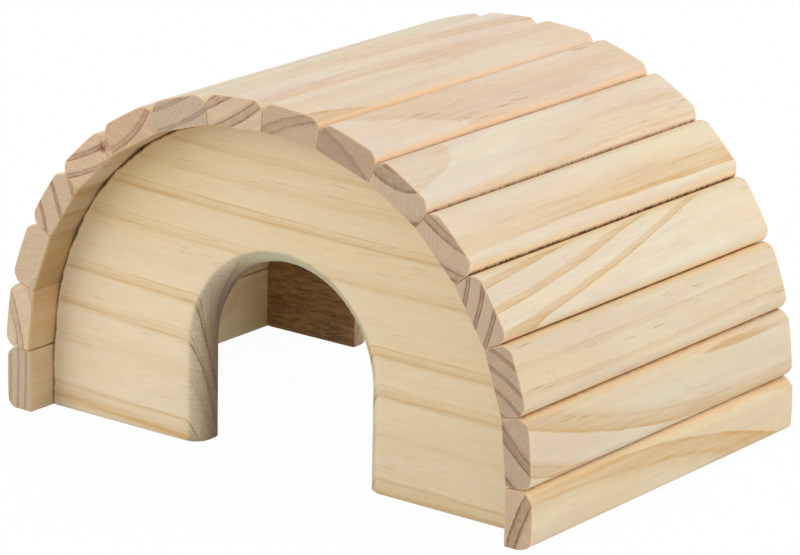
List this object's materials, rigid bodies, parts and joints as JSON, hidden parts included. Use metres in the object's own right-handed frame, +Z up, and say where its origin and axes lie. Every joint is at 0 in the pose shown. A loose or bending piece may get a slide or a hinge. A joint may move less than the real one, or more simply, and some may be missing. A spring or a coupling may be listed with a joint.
{
  "type": "hamster house",
  "caption": "Arched wooden hideout for a small pet: profiled pine slats curve over end panels with rounded doorways, open underneath.",
  "frame": {"origin": "on the floor, under the middle of the house", "axes": "+X across the arch to the right as seen from the front doorway, +Y along the slats towards the back, +Z up"},
  "size_m": [0.202, 0.1396, 0.1161],
  "materials": {
    "slat_pine": "bare sanded pine, pale cream with light orange latewood streaks, matt",
    "panel_pine": "bare sanded pine, pale honey with fine level grain lines, matt"
  },
  "bodies": {
    "root": {"roof_slat_01": "slat_pine", "roof_slat_02": "slat_pine", "roof_slat_03": "slat_pine", "roof_slat_04": "slat_pine", "roof_slat_05": "slat_pine", "roof_slat_06": "slat_pine", "roof_slat_07": "slat_pine", "roof_slat_08": "slat_pine", "roof_slat_09": "slat_pine", "roof_slat_10": "slat_pine", "roof_slat_11": "slat_pine", "roof_slat_12": "slat_pine", "roof_slat_13": "slat_pine", "roof_slat_14": "slat_pine", "roof_slat_15": "slat_pine", "roof_slat_16": "slat_pine", "front_panel": "panel_pine", "back_panel": "panel_pine"}
  },
  "joints": []
}
